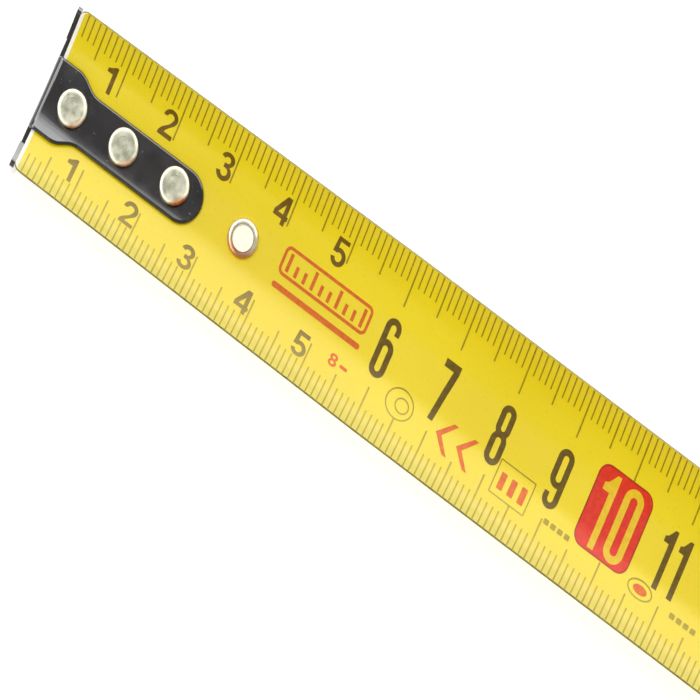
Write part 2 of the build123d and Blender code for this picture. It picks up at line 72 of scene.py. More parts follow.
END_CORNER = 1.2 * MM                   # rounding of the strip's end corners
HEAD_RADIUS = 2.4 * MM                  # rivet heads, and nearly the eyelet's ring
FIRST_RIVET = 4.9 * MM
RIVET_PITCH = 9.0 * MM
PIP_PITCH = 2.4 * MM                    # moulded pips of the rubber grip
INK_DEPTH = 0.02 * MM
INK_HEIGHT = 0.015 * MM


# ---- bending flat shapes on to the blade -----------------------------------------------------------
def curvature(x):
    """One over the strip's radius: constant outside the case, fading to flat on the way to the reel."""
    share = min(max((x - FLATTEN_FROM) / (FLATTEN_TO - FLATTEN_FROM), 0.0), 1.0)
    return (1 - share * share * (3 - 2 * share)) / BLADE_RADIUS


def on_blade(along, across, height):
    """A point given along the scale, across the strip (along its arc) and over its top face."""
    x = ZERO_X + along
    drawn_in = END_PINCH * min(max(1 - along / PINCH_LENGTH, 0.0), 1.0)
    across -= drawn_in * (across / BLADE_HALF_ARC) ** 3
    k = curvature(x)
    over = height + BLADE_THICKNESS / 2
    middle_z = SURFACE_Z - BLADE_THICKNESS / 2
    if k < 1.0:
        return Vector((x, across, middle_z + over))
    angle = across * k
    radius = 1 / k
    inner = radius - over
    return Vector((x, inner * math.sin(angle), middle_z + radius - inner * math.cos(angle)))


def up_from_blade(along, across):
    """The direction away from the strip's hollow face at a point."""
    angle = across * curvature(ZERO_X + along)
    return Vector((0, -math.sin(angle), math.cos(angle)))


def bent(name, bm, material, edge_material=None):
    """Cuts a flat bmesh (x along, y across, z height) into narrow strips and bends it on the blade."""
    low = min(v.co.y for v in bm.verts)
    high = max(v.co.y for v in bm.verts)
    first = math.ceil(low / CUT_STEP + 1e-6)
    last = math.floor(high / CUT_STEP - 1e-6)
    for i in range(first, last + 1):
        geometry = bm.verts[:] + bm.edges[:] + bm.faces[:]
        at = (0, i * CUT_STEP, 0)
        bmesh.ops.bisect_plane(bm, geom=geometry, plane_co=at, plane_no=(0, 1, 0), dist=1e-8)
    bmesh.ops.recalc_face_normals(bm, faces=bm.faces)
    bm.normal_update()
    bm.faces.index_update()
    facing = [f.normal.z for f in bm.faces]
    flat = [(v.co.x, v.co.y) for v in bm.verts]
    for v in bm.verts:
        v.co = on_blade(*v.co)
    mesh = bpy.data.meshes.new(name)
    bm.to_mesh(mesh)
    bm.free()
    for polygon in mesh.polygons:
        polygon.use_smooth = abs(facing[polygon.index]) > 0.5
        polygon.material_index = 1 if edge_material and not polygon.use_smooth else 0
    mesh.update()
    normals = []
    for polygon in mesh.polygons:
        side = facing[polygon.index]
        for vertex in polygon.vertices:
            up = up_from_blade(*flat[vertex])
            normals.append(up * (1 if side > 0 else -1) if abs(side) > 0.5 else polygon.normal)
    mesh.normals_split_custom_set(normals)
    for each in (material, edge_material):
        if each:
            mesh.materials.append(each)
    piece = bpy.data.objects.new(name, mesh)
    bpy.context.scene.collection.objects.link(piece)
    return piece


def add_outline(curve, points):
    spline = curve.splines.new("POLY")
    spline.points.add(len(points) - 1)
    for target, (x, y) in zip(spline.points, points):
        target.co = (x, y, 0, 1)
    spline.use_cyclic_u = True


def curve_to_bmesh(curve, low, high, bm=None):
    """Fills a flat curve or text between two heights; shapes may be gathered in one bmesh."""
    curve.dimensions = "2D"
    curve.fill_mode = "BOTH"
    curve.extrude = (high - low) / 2
    holder = bpy.data.objects.new("flat_shape", curve)
    bpy.context.scene.collection.objects.link(holder)
    bpy.context.view_layer.update()
    mesh = bpy.data.meshes.new_from_object(holder.evaluated_get(bpy.context.evaluated_depsgraph_get()))
    mesh.transform(Matrix.Translation((0, 0, (high + low) / 2)))
    gathered = bm or bmesh.new()
    made = bmesh.new()
    made.from_mesh(mesh)
    bmesh.ops.remove_doubles(made, verts=made.verts, dist=1e-7)
    made.to_mesh(mesh)
    made.free()
    gathered.from_mesh(mesh)
    bpy.data.objects.remove(holder)
    bpy.data.curves.remove(curve)
    bpy.data.meshes.remove(mesh)
    return gathered


def circle(x, y, radius_x, radius_y=None, count=48, turn=0.0):
    radius_y = radius_y or radius_x
    steps = [2 * math.pi * i / count + turn for i in range(count)]
    return [(x + radius_x * math.cos(a), y + radius_y * math.sin(a)) for a in steps]


def rounded_box(x, y, width, height, corner, steps=8):
    points = []
    for i, (sx, sy) in enumerate(((1, 1), (-1, 1), (-1, -1), (1, -1))):
        cx, cy = x + sx * (width / 2 - corner), y + sy * (height / 2 - corner)
        for j in range(steps + 1):
            a = math.pi / 2 * (i + j / steps)
            points.append((cx + corner * math.cos(a), cy + corner * math.sin(a)))
    return points


def shape_bmesh(outlines, low, high, bm=None):
    curve = bpy.data.curves.new("outline", "CURVE")
    for points in outlines:
        add_outline(curve, points)
    return curve_to_bmesh(curve, low, high, bm)


def box_bmesh(bm, x_from, x_to, y_from, y_to, z_from, z_to):
    made = bmesh.ops.create_cube(bm, size=1.0)
    size = Vector((x_to - x_from, y_to - y_from, z_to - z_from))
    centre = Vector((x_from + x_to, y_from + y_to, z_from + z_to)) / 2
    for v in made["verts"]:
        v.co = Vector(a * b for a, b in zip(v.co, size)) + centre


def arc(x, y, radius_x, radius_y, first, last, count=18):
    """Points on an ellipse from one angle to another, in degrees."""
    angles = [math.radians(first + (last - first) * i / count) for i in range(count + 1)]
    return [(x + radius_x * math.cos(a), y + radius_y * math.sin(a)) for a in angles]


def loop(x_from, x_to, y_from, y_to):
    """A closed shape with round ends and straight sides."""
    radius = (x_to - x_from) / 2
    rise = min(radius, (y_to - y_from) / 2)
    middle = (x_from + x_to) / 2
    upper = arc(middle, y_to - rise, radius, rise, 0, 180)
    return upper + arc(middle, y_from + rise, radius, rise, 180, 360)


def reach(y, y_from, y_to, width):
    """Half the width of a loop at one height."""
    radius = width / 2
    rise = min(radius, (y_to - y_from) / 2)
    off = max(y_from + rise - y, y - y_to + rise, 0) / rise
    return radius * math.sqrt(max(0, 1 - off * off))


# Digits are drawn in a box of width w and height h, with side strokes t and cross strokes b.
def digit_0(w, h, t, b):
    return [loop(0, w, 0, h), loop(t, w - t, b, h - b)]


def digit_1(w, h, t, b):
    left, top = w - 0.74 * w, h
    flag = h * 0.85
    return [[
        (w - t, 0), (w, 0), (w, top), (w - 0.62 * t, top),
        (left, flag + 0.12 * t), (0, flag - 0.1 * t), (0, flag - b), (w - t, flag - b),
    ]]


def digit_2(w, h, t, b):
    rise = min(0.29 * h, 0.62 * w)
    outer = arc(w / 2, h - rise, w / 2, rise, 184, -25)
    lower = [(0.86 * w, 0.5 * h), (0.62 * w, 0.36 * h), (0.43 * w, b + 0.07 * h), (0.38 * w, b)]
    base = [(w, b), (w, 0), (0, 0), (0, 0.1 * h)]
    upper = [(0.06 * w, 0.18 * h), (0.2 * w, 0.29 * h), (0.5 * w, 0.45 * h), (0.61 * w, 0.53 * h)]
    inner = arc(w / 2, h - rise, w / 2 - t, rise - b, -35, 184)
    return [outer + lower + base + upper + inner]


def digit_3(w, h, t, b):
    waist = 0.525 * h
    low, high = 0.28 * h, 0.745 * h
    outer = arc(w / 2, low, w / 2, low, 187, 421) + arc(w / 2, high, 0.47 * w, h - high, -59, 172)
    top_rise = (h - b - waist - b / 2) / 2
    low_rise = (waist - 1.5 * b) / 2
    top_inner = arc(w / 2, h - b - top_rise, 0.47 * w - t, top_rise, 172, -85)
    bar = [(0.36 * w, waist + b / 2), (0.36 * w, waist - b / 2)]
    low_inner = arc(w / 2, b + low_rise, w / 2 - t, low_rise, 85, -173)
    return [outer + top_inner + bar + low_inner]


def digit_4(w, h, t, b):
    right = 0.9 * w
    left = right - t
    low, high = 0.19 * h, 0.19 * h + b
    outer = [
        (left, 0), (right, 0), (right, low), (w, low), (w, high), (right, high), (right, h),
        (left - 0.06 * w, h), (0, high + 0.02 * h), (0, low), (left, low),
    ]
    return [outer, [(0.27 * w, high), (left, high), (left, 0.7 * h)]]


def digit_5(w, h, t, b):
    rise = 0.32 * h
    step = [(0.93 * w, h), (0.13 * w, h), (0.04 * w, 0.43 * h), (0.04 * w + 0.92 * t, 0.43 * h)]
    inner = arc(w / 2, rise, w / 2 - t, rise - b, 140, -165)
    outer = arc(w / 2, rise, w / 2, rise, 194, 470)
    return [step + inner + outer + [(0.13 * w + 0.78 * t, h - b), (0.93 * w, h - b)]]


def digit_6(w, h, t, b):
    radius = w / 2
    bowl = 0.65 * h
    end = 0.75 * h
    meet = math.degrees(math.acos((t - radius) / radius))
    points = [(0.96 * w, end)] + arc(radius, h - radius, 0.96 * radius, radius, 0, 90, 9)
    points += arc(radius, h - radius, radius, radius, 90, 180, 9)
    points += arc(radius, radius, radius, radius, 180, 360)
    points += arc(radius, bowl - radius, radius, radius, 0, meet)
    points += arc(radius, h - radius, radius - t, radius - b, 180, 0) + [(w - t, end)]
    return [points, loop(t, w - t, b, bowl - b)]


def digit_7(w, h, t, b):
    bar = h - 1.3 * b
    return [[
        (0, h), (w, h), (w, bar), (0.8 * w, 0.5 * h), (0.58 * w, 0), (0.24 * w, 0),
        (0.44 * w, 0.5 * h), (w - 1.12 * t, bar), (0, bar),
    ]]


def digit_8(w, h, t, b):
    waist = 0.52 * h
    steps = [h / 2 * (1 - math.cos(math.pi * i / 60)) for i in range(61)]
    wide = [max(reach(y, 0, 0.56 * h, w), reach(y, 0.47 * h, h, 0.93 * w)) for y in steps]
    right = [(w / 2 + x, y) for x, y in zip(wide, steps)]
    left = [(w / 2 - x, y) for x, y in zip(wide, steps)][-2:0:-1]
    top = loop(0.035 * w + t, 0.965 * w - t, waist + b / 2, h - b)
    return [right + left, loop(t, w - t, b, waist - b / 2), top]


def digit_9(w, h, t, b):
    return [[(w - x, h - y) for x, y in points] for points in digit_6(w, h, t, b)]


DIGITS = (digit_0, digit_1, digit_2, digit_3, digit_4, digit_5, digit_6, digit_7, digit_8, digit_9)


def add_digit(outlines, digit, right, middle, w, h, t, b):
    """Adds one digit's outlines, placed by its right edge and its middle height; all in millimetres."""
    for points in DIGITS[digit](w, h, t, b):
        placed = [((right - w + x) * MM, (middle - h / 2 + y) * MM) for x, y in points]
        apart = [p for i, p in enumerate(placed) if math.dist(p, placed[i - 1]) > 1e-6]
        outlines.append(apart)


# ---- materials ------------------------------------------------------------------------------------
def srgb(red, green, blue):
    """Linear colour from the 0 to 255 values that a colour picker shows."""
    def linear(value):
        c = value / 255
        return c / 12.92 if c <= 0.04045 else ((c + 0.055) / 1.055) ** 2.4
    return (linear(red), linear(green), linear(blue), 1.0)


class Finish:
    """A Principled material with a few helpers for its colour, roughness and bump."""

    def __init__(self, name, roughness=0.5, metallic=0.0, coat=0.0, coat_roughness=0.1, specular=0.5):
        self.material = bpy.data.materials.new(name)
        self.material.use_nodes = True
        self.nodes = self.material.node_tree.nodes
        self.links = self.material.node_tree.links
        self.shader = self.nodes["Principled BSDF"]
        self.shader.inputs["Roughness"].default_value = roughness
        self.shader.inputs["Metallic"].default_value = metallic
        self.shader.inputs["Coat Weight"].default_value = coat
        self.shader.inputs["Coat Roughness"].default_value = coat_roughness
        self.shader.inputs["Specular IOR Level"].default_value = specular
        self.place = self.nodes.new("ShaderNodeTexCoord").outputs["Object"]

    def noise(self, scale, detail=3.0, stretch=(1, 1, 1)):
        """Noise in the object's own space; scale is in features per metre."""
        mapping = self.nodes.new("ShaderNodeMapping")
        mapping.inputs["Scale"].default_value = stretch
        self.links.new(self.place, mapping.inputs["Vector"])
        node = self.nodes.new("ShaderNodeTexNoise")
        node.inputs["Scale"].default_value = scale
        node.inputs["Detail"].default_value = detail
        self.links.new(mapping.outputs["Vector"], node.inputs["Vector"])
        return node.outputs["Fac"]

    def ramp(self, value, stops):
        node = self.nodes.new("ShaderNodeValToRGB")
        ramp = node.color_ramp
        while len(ramp.elements) < len(stops):
            ramp.elements.new(0.5)
        for element, (at, colour) in zip(ramp.elements, stops):
            element.position = at
            element.color = colour
        self.links.new(value, node.inputs["Fac"])
        return node.outputs["Color"]

    def spread(self, value, low, high):
        node = self.nodes.new("ShaderNodeMapRange")
        node.inputs["To Min"].default_value = low
        node.inputs["To Max"].default_value = high
        node.inputs["From Min"].default_value = 0.3
        node.inputs["From Max"].default_value = 0.7
        self.links.new(value, node.inputs["Value"])
        return node.outputs["Result"]

    def maths(self, operation, *values):
        node = self.nodes.new("ShaderNodeMath")
        node.operation = operation
        for value, socket in zip(values, node.inputs):
            self.connect(value, socket)
        return node.outputs["Value"]

    def axis(self, name):
        """One coordinate of the object's own space, in metres."""
        node = self.nodes.new("ShaderNodeSeparateXYZ")
        self.links.new(self.place, node.inputs["Vector"])
        return node.outputs[name]

    def distance(self, *offsets):
        """The length of an offset that is given by two of its parts."""
        squares = [self.maths("MULTIPLY", part, part) for part in offsets]
        return self.maths("SQRT", self.maths("ADD", *squares))

    def toward_edge(self):
        """How far a point on the strip lies from the middle line towards the edge at -Y, from 0 to 1."""
        return self.maths("DIVIDE", self.axis("Y"), -BLADE_HALF_ARC)

    def mix(self, share, one, other):
        node = self.nodes.new("ShaderNodeMix")
        node.data_type = "RGBA"
        self.connect(share, node.inputs["Factor"])
        self.connect(one, node.inputs["A"])
        self.connect(other, node.inputs["B"])
        return node.outputs["Result"]

    def connect(self, source, socket):
        if isinstance(source, (tuple, float, int)):
            socket.default_value = source
        else:
            self.links.new(source, socket)

    def colour(self, source):
        self.connect(source, self.shader.inputs["Base Color"])
        return self

    def rough(self, value, low, high):
        self.links.new(self.spread(value, low, high), self.shader.inputs["Roughness"])
        return self

    def bump(self, value, strength, distance):
        node = self.nodes.new("ShaderNodeBump")
        node.inputs["Strength"].default_value = strength
        node.inputs["Distance"].default_value = distance
        self.links.new(value, node.inputs["Height"])
        self.links.new(node.outputs["Normal"], self.shader.inputs["Normal"])
        return self


def mottled(name, dark, light, scale, rough_low, rough_high, bump=0.0, bump_scale=None, **more):
    """A colour that drifts between two close tones, with its own roughness drift and fine relief."""
    finish = Finish(name, **more)
    finish.colour(finish.ramp(finish.noise(scale), [(0.35, dark), (0.65, light)]))
    finish.rough(finish.noise(scale * 3), rough_low, rough_high)
    if bump:
        finish.bump(finish.noise(bump_scale or scale * 8), 0.5, bump)
    return finish.material


def grey(value):
    return (value, value, value, 1.0)


def blade_enamel():
    """Yellow enamel under a clear film: faint clouding, fine specks, a broad lacquer sheen, and a
    painted sheen that makes the strip paler towards its edge at -Y.
    """
    finish = Finish("blade_enamel", roughness=0.34, coat=0.55, coat_roughness=0.19, specular=0.1)
    cloud = finish.noise(60, 2.0, (0.5, 1, 1))
    base = finish.ramp(cloud, [(0.3, srgb(234, 208, 2)), (0.7, srgb(241, 216, 10))])
    specks = finish.noise(2600, 2.0)
    share = finish.ramp(specks, [(0.60, grey(0)), (0.74, grey(0.3))])
    speckled = finish.mix(share, base, srgb(214, 184, 8))
    # painted sheen: the enamel is mixed towards pale yellow near the strip's edge at -Y
    wear_and_sheen = finish.ramp(finish.toward_edge(), [(0.66, grey(0)), (0.84, grey(0.8))])
    finish.colour(finish.mix(wear_and_sheen, speckled, srgb(243, 232, 140)))
    finish.rough(finish.noise(420, 3.0, (0.15, 1, 1)), 0.3, 0.38)
    finish.bump(finish.noise(900, 2.0), 0.25, 0.00001)
    return finish.material


def ink(name, dark, light, edge_sheen=0.0):
    """Printing ink under the same film, a little uneven, and painted paler towards the edge at -Y if
    asked, as a painted sheen.
    """
    finish = Finish(name, roughness=0.36, coat=0.3, coat_roughness=0.19, specular=0.1)
    cover = finish.ramp(finish.noise(1500, 3.0), [(0.35, dark), (0.68, light)])
    # painted sheen: the ink is mixed towards pale yellow near the strip's edge at -Y
    sheen_stops = [(0.2, grey(0)), (0.6, grey(edge_sheen)), (0.8, grey(edge_sheen * 1.5))]
    wear_and_sheen = finish.ramp(finish.toward_edge(), sheen_stops)
    finish.colour(finish.mix(wear_and_sheen, cover, srgb(226, 208, 90)))
    finish.rough(finish.noise(700), 0.32, 0.42)
    return finish.material


def hook_paint():
    """Glossy black stoving paint, thick enough to flow, with dust specks and a few rubbed places."""
    finish = Finish("hook_paint", roughness=0.2, coat=1.0, coat_roughness=0.05)
    finish.shader.inputs["Coat IOR"].default_value = 1.55
    cloud = finish.noise(220, 2.0)
    base = finish.ramp(cloud, [(0.3, srgb(16, 12, 12)), (0.7, srgb(30, 25, 24))])
    specks = finish.ramp(finish.noise(2100, 1.0), [(0.73, grey(0)), (0.78, grey(0.5))])
    dusty = finish.mix(specks, base, srgb(128, 122, 114))
    wear_and_sheen = finish.ramp(finish.noise(640, 5.0), [(0.66, grey(0)), (0.72, grey(0.25))])
    finish.colour(finish.mix(wear_and_sheen, dusty, srgb(92, 84, 80)))
    finish.rough(finish.noise(380), 0.14, 0.28)
    finish.bump(finish.noise(700, 2.0), 0.3, 0.00003)
    return finish.material


def plated(name, dark, light, rough_low, rough_high, scale=1400, bump=0.00001):
    """Plated or brushed steel: metal with fine uneven dullness."""
    finish = Finish(name, metallic=1.0)
    finish.colour(finish.ramp(finish.noise(scale, 4.0), [(0.3, dark), (0.7, light)]))
    finish.rough(finish.noise(scale * 0.6, 4.0), rough_low, rough_high)
    finish.bump(finish.noise(scale * 1.6, 3.0), 0.4, bump)
    return finish.material


def rivet_metal():
    """Zinc-plated rivet heads: dull where they were pressed, a painted highlight round the rim, a little
    rust.
    """
    finish = Finish("rivet_metal", metallic=0.55)
    along = finish.maths("SUBTRACT", finish.axis("X"), ZERO_X + FIRST_RIVET)
    x = finish.maths("WRAP", along, RIVET_PITCH / 2, -RIVET_PITCH / 2)
    y = finish.axis("Y")
    out = finish.maths("DIVIDE", finish.distance(x, y), HEAD_RADIUS)
    # painted highlight: a pale cream ring at the edge of each head
    rim_highlight = finish.ramp(out, [(0.70, grey(0)), (0.86, grey(1))])
    dull = [(0.36, srgb(142, 142, 122)), (0.64, srgb(188, 187, 166))]
    pressed = finish.ramp(finish.noise(900, 4.0), dull)
    plain = finish.mix(rim_highlight, pressed, srgb(236, 232, 208))
    right, down = finish.maths("MULTIPLY", x, 0.72), finish.maths("MULTIPLY", y, 0.70)
    aside = finish.maths("SUBTRACT", right, down)
    rust = finish.ramp(finish.maths("DIVIDE", aside, HEAD_RADIUS), [(0.60, grey(0)), (0.80, grey(1))])
    patchy = finish.maths("MULTIPLY", rust, finish.spread(finish.noise(500, 3.0), 0.35, 1.0))
    finish.colour(finish.mix(patchy, plain, srgb(168, 92, 22)))
    finish.rough(finish.noise(800, 4.0), 0.28, 0.5)
    finish.bump(finish.noise(1500, 4.0), 0.5, 0.00003)
    return finish.material


def eyelet_metal():
    """Nickel-plated brass, rolled over: creamy on top, with painted shade in a warmer, darker tone on
    its lower side.
    """
    finish = Finish("eyelet_metal", metallic=0.6)
    reach_down = finish.maths("SUBTRACT", HEAD_RADIUS, finish.axis("Y"))
    down = finish.maths("DIVIDE", reach_down, 2 * HEAD_RADIUS)
    # painted shade: the ring turns warmer and darker towards -Y
    wear_and_shade = finish.ramp(down, [(0.45, grey(0)), (0.85, grey(0.95))])
    cream = [(0.3, srgb(226, 218, 190)), (0.7, srgb(246, 240, 220))]
    plain = finish.ramp(finish.noise(1200, 4.0), cream)
    middle = (EYELET_LOW + EYELET_HIGH) / 2
    x = finish.maths("SUBTRACT", finish.axis("X"), middle.x)
    y = finish.maths("SUBTRACT", finish.axis("Y"), middle.y)
    out = finish.maths("DIVIDE", finish.distance(x, y), EYELET_HIGH.x - middle.x)
    # a darker line round the ring at about seven tenths of its radius, and darker again at its outer
    # edge
    line = [(0.62, grey(0.25)), (0.70, grey(0.8)), (0.78, grey(0)), (0.95, grey(0)), (1.0, grey(0.5))]
    dark_lined = finish.mix(finish.ramp(out, line), plain, srgb(128, 104, 66))
    finish.colour(finish.mix(wear_and_shade, dark_lined, srgb(190, 126, 90)))
    finish.rough(finish.noise(900, 4.0), 0.14, 0.28)
    finish.bump(finish.noise(1500, 3.0), 0.4, 0.00001)
    return finish.material


def grip_rubber():
    """Soft black overmould with a close grid of low moulded pips, with painted shade that makes it
    darker between them.
    """
    finish = Finish("grip_rubber", specular=0.35)
    waves = [
        finish.maths("SINE", finish.maths("MULTIPLY", finish.axis(name), 2 * math.pi / PIP_PITCH))
        for name in ("X", "Y", "Z")
    ]
    pips = finish.maths("ADD", finish.maths("ADD", waves[0], waves[1]), waves[2])
    height = finish.maths("ADD", finish.maths("MULTIPLY", pips, 0.16), 0.5)
    # painted shade: the hollows between the pips are darker, the raised pips lighter
    unshaded_tops = finish.ramp(height, [(0.40, grey(0)), (0.66, grey(1))])
    finish.colour(finish.mix(unshaded_tops, srgb(24, 24, 25), srgb(35, 35, 36)))
    finish.rough(finish.noise(400), 0.6, 0.8)
    finish.bump(height, 0.7, 0.0004)
    return finish.material


def label_foil():
    """A plain stuck-on label: dark rim, yellow band and turned silver middle, with no lettering."""
    finish = Finish("label_foil", metallic=0.25)
    corners = [Vector(corner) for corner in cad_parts["side_label"].bound_box]
    middle = sum(corners, Vector()) / 8
    radius = max(corner.x for corner in corners) - middle.x
    x = finish.maths("SUBTRACT", finish.axis("X"), middle.x)
    z = finish.maths("SUBTRACT", finish.axis("Z"), middle.z)
    out = finish.maths("DIVIDE", finish.distance(x, z), radius)
    dark, yellow = srgb(40, 41, 44), srgb(226, 184, 28)
    silver, line = srgb(172, 174, 177), srgb(120, 122, 126)
    rings = finish.ramp(out, [
        (0.0, silver), (0.16, silver), (0.165, line), (0.175, silver), (0.60, silver), (0.605, dark),
        (0.64, dark), (0.645, yellow), (0.86, yellow), (0.865, dark), (1.0, dark),
    ])
    wear_and_shade = finish.ramp(finish.noise(700, 5.0), [(0.60, grey(0)), (0.75, grey(0.35))])
    finish.colour(finish.mix(wear_and_shade, rings, srgb(150, 150, 150)))
    finish.rough(finish.noise(500, 3.0), 0.3, 0.42)
    turned = finish.maths("SINE", finish.maths("MULTIPLY", out, 190.0))
    finish.bump(turned, 0.25, 0.00004)
    return finish.material


ENAMEL = blade_enamel()
CUT_EDGE = mottled("cut_edge", srgb(120, 108, 34), srgb(150, 136, 52), 900, 0.4, 0.55)
DARK_INK = ink("dark_ink", srgb(104, 76, 0), srgb(120, 90, 4), edge_sheen=0.26)
BIG_INK = ink("big_ink", srgb(94, 72, 0), srgb(112, 88, 4))
FINE_INK = ink("fine_ink", srgb(150, 128, 0), srgb(168, 144, 2), edge_sheen=0.3)
RED_INK = ink("red_ink", srgb(216, 42, 16), srgb(228, 56, 22))
BROWN_RED_INK = ink("brown_red_ink", srgb(158, 44, 10), srgb(178, 60, 14))
FADED_RED_INK = ink("faded_red_ink", srgb(216, 96, 18), srgb(228, 116, 30))
ORANGE_INK = ink("orange_ink", srgb(204, 92, 4), srgb(220, 106, 12))
WHITE_INK = ink("white_margin", srgb(250, 248, 236), srgb(254, 253, 246))
YELLOW_INK = ink("yellow_ink", srgb(228, 188, 20), srgb(238, 200, 34))

CAD_FINISHES = {
    "end_hook": hook_paint(),
    "hook_rivets": rivet_metal(),
    "eyelet": eyelet_metal(),
}
SHELL = mottled(
    "shell_plastic", srgb(58, 61, 66), srgb(66, 69, 74), 90, 0.5, 0.62, bump=0.00006, bump_scale=2600
)
GRIP = grip_rubber()
BUMPER = mottled("bumper_rubber", srgb(20, 20, 20), srgb(30, 30, 30), 300, 0.7, 0.85, bump=0.00003)
BUTTON = mottled("button_plastic", srgb(205, 150, 20), srgb(216, 160, 26), 150, 0.4, 0.5, bump=0.00002)
NYLON = mottled("reel_nylon", srgb(36, 36, 37), srgb(46, 46, 47), 200, 0.5, 0.6, bump=0.00002)
CLIP = mottled(
    "clip_steel", srgb(38, 38, 40), srgb(50, 50, 52), 260, 0.3, 0.42, bump=0.00001, metallic=0.7
)
SCREW = plated("screw_zinc", srgb(70, 70, 72), srgb(95, 95, 98), 0.3, 0.45)
STEEL = plated("ground_steel", srgb(150, 150, 150), srgb(180, 180, 178), 0.25, 0.4)
SPRING = plated("spring_steel", srgb(80, 86, 98), srgb(110, 114, 122), 0.25, 0.4)
LABEL = label_foil()
for node_name in ("case_body", "case_cover"):
    CAD_FINISHES[node_name] = SHELL
for node_name in ("body_grip", "cover_grip"):
    CAD_FINISHES[node_name] = GRIP
for node_name in ("mouth_bumper", "brake_pads"):
    CAD_FINISHES[node_name] = BUMPER
for node_name in ("reel", "reel_cover", "lock_retainer", "brake_shoe"):
    CAD_FINISHES[node_name] = NYLON
for node_name in ("case_screws", "clip_screw", "arbor_screw"):
    CAD_FINISHES[node_name] = SCREW
for node_name in ("mouth_guard", "arbor"):
    CAD_FINISHES[node_name] = STEEL
CAD_FINISHES["lock_button"] = BUTTON
CAD_FINISHES["belt_clip"] = CLIP
CAD_FINISHES["power_spring"] = SPRING
CAD_FINISHES["side_label"] = LABEL
CAD_FINISHES["blade_coil"] = ENAMEL
for node_name, material in CAD_FINISHES.items():
    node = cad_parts[node_name]
    node.data.materials.clear()
    node.data.materials.append(material)


# ---- the strip --------------------------------------------------------------------------------------
QUARTER_TURN = [math.pi / 2 * i / 8 for i in range(9)]


def end_corner(start, half, corner):
    """The strip's rounded end corner, from its long edge round to its end."""
    return [
        (start + corner * (1 - math.sin(a)), half - corner * (1 - math.cos(a))) for a in QUARTER_TURN
    ]


def strip_outline(start, end, corner):
    """The flat strip between two places, with rounded corners at its start if a radius is given."""
    half = BLADE_HALF_ARC
    if not corner:
        return [(start, -half), (end, -half), (end, half), (start, half)]
    upper = end_corner(start, half, corner)
    lower = [(x, -y) for x, y in reversed(upper)]
    return lower + [(end, -half), (end, half)] + upper


EYELET_AT = (EYELET_LOW.x + EYELET_HIGH.x) / 2 - ZERO_X
tip_outlines = [
    strip_outline(BLADE_START, SPLIT_AT, END_CORNER),
    circle(EYELET_AT, 0, 1.9 * MM),
]
tip = bent("blade_tip_strip", shape_bmesh(tip_outlines, -BLADE_THICKNESS, 0), ENAMEL, CUT_EDGE)
RUN_END = BLADE_END_X - ZERO_X
run_bm = bmesh.new()
stations = [SPLIT_AT, PINCH_LENGTH, MOUTH_AT + 6 * MM]
stations += [FLATTEN_FROM - ZERO_X + (FLATTEN_TO - FLATTEN_FROM) * i / 10 for i in range(1, 11)]
stations.append(RUN_END)
for x_from, x_to in zip(stations, stations[1:]):
    box_bmesh(run_bm, x_from, x_to, -BLADE_HALF_ARC, BLADE_HALF_ARC, -BLADE_THICKNESS, 0)
bmesh.ops.remove_doubles(run_bm, verts=run_bm.verts, dist=1e-7)
between = (SPLIT_AT + 1e-5, RUN_END - 1e-5)
walls = [f for f in run_bm.faces if abs(f.normal.x) > 0.5]
inner = [f for f in walls if between[0] < f.calc_center_median().x < between[1]]
bmesh.ops.delete(run_bm, geom=inner, context="FACES_ONLY")
run = bent("blade_run_strip", run_bm, ENAMEL, CUT_EDGE)


# ---- the print ---------------------------------------------------------------------------------------
def tick_length(place, top):
    """Length of a division line, in millimetres: single, five and ten millimetre lines."""
    if place % 10 == 0:
        return (7.9 if place < 50 else 7.1) if top else 7.0
    return 5.6 if place % 5 == 0 else 4.0


def ticks(first, last):
    bm = bmesh.new()
    for place in range(first, last + 1):
        for side in (1, -1):
            length = tick_length(place, side > 0) * MM
            low, high = sorted((side * (BLADE_HALF_ARC - 0.05 * MM), side * (BLADE_HALF_ARC - length)))
            half = (0.105 if place % 5 else 0.12) * MM
            box_bmesh(bm, place * MM - half, place * MM + half, low, high, -INK_DEPTH, INK_HEIGHT)
    return bm


tip_ticks = bent("ticks_tip", ticks(2, 39), FINE_INK)
run_ticks = bent("ticks_run", ticks(40, int(MOUTH_AT / MM) + 1), FINE_INK)


def small_digits(numbers):
    """The numbers beside the ten millimetre lines, along both edges."""
    outlines = []
    for number in numbers:
        right = 10 * number - (1.07 if number == 1 else 0.28)
        width = 1.55 if number == 1 else 2.35
        add_digit(outlines, number, right, 6.1, width, 3.75, 0.63, 0.6)
        add_digit(outlines, number, right, -6.62, width, 3.5, 0.63, 0.58)
    return outlines


def big_digits(numbers):
    """The numbers in the middle of the strip, set narrow and tall."""
    outlines = []
    for number in numbers:
        digits = [int(c) for c in str(number)]
        widths = [1.7 if digit == 1 else 2.55 for digit in digits]
        total = sum(widths) + 0.85 * (len(digits) - 1)
        right = 10 * number - (0.8 if len(digits) > 1 else 0.1) - total / 2
        for digit, width in zip(digits, widths):
            right += width
            add_digit(outlines, digit, right, -0.2, width, 7.65, 0.84, 0.8)
            right += 0.85
    return outlines


def printed(name, outlines, material, over=0.0):
    """Ink in the given flat outlines, laid on the blade, or over ink that is there already."""
    return bent(name, shape_bmesh(outlines, over - INK_DEPTH, over + INK_HEIGHT), material)


def box(x_from, x_to, y_from, y_to, corner=0.0):
    """A box outline in millimetres, with rounded corners if a radius is given."""
    if not corner:
        corners = ((x_from, y_from), (x_to, y_from), (x_to, y_to), (x_from, y_to))
        return [(x * MM, y * MM) for x, y in corners]
    middle_x, middle_y = (x_from + x_to) / 2 * MM, (y_from + y_to) / 2 * MM
    return rounded_box(middle_x, middle_y, (x_to - x_from) * MM, (y_to - y_from) * MM, corner * MM)


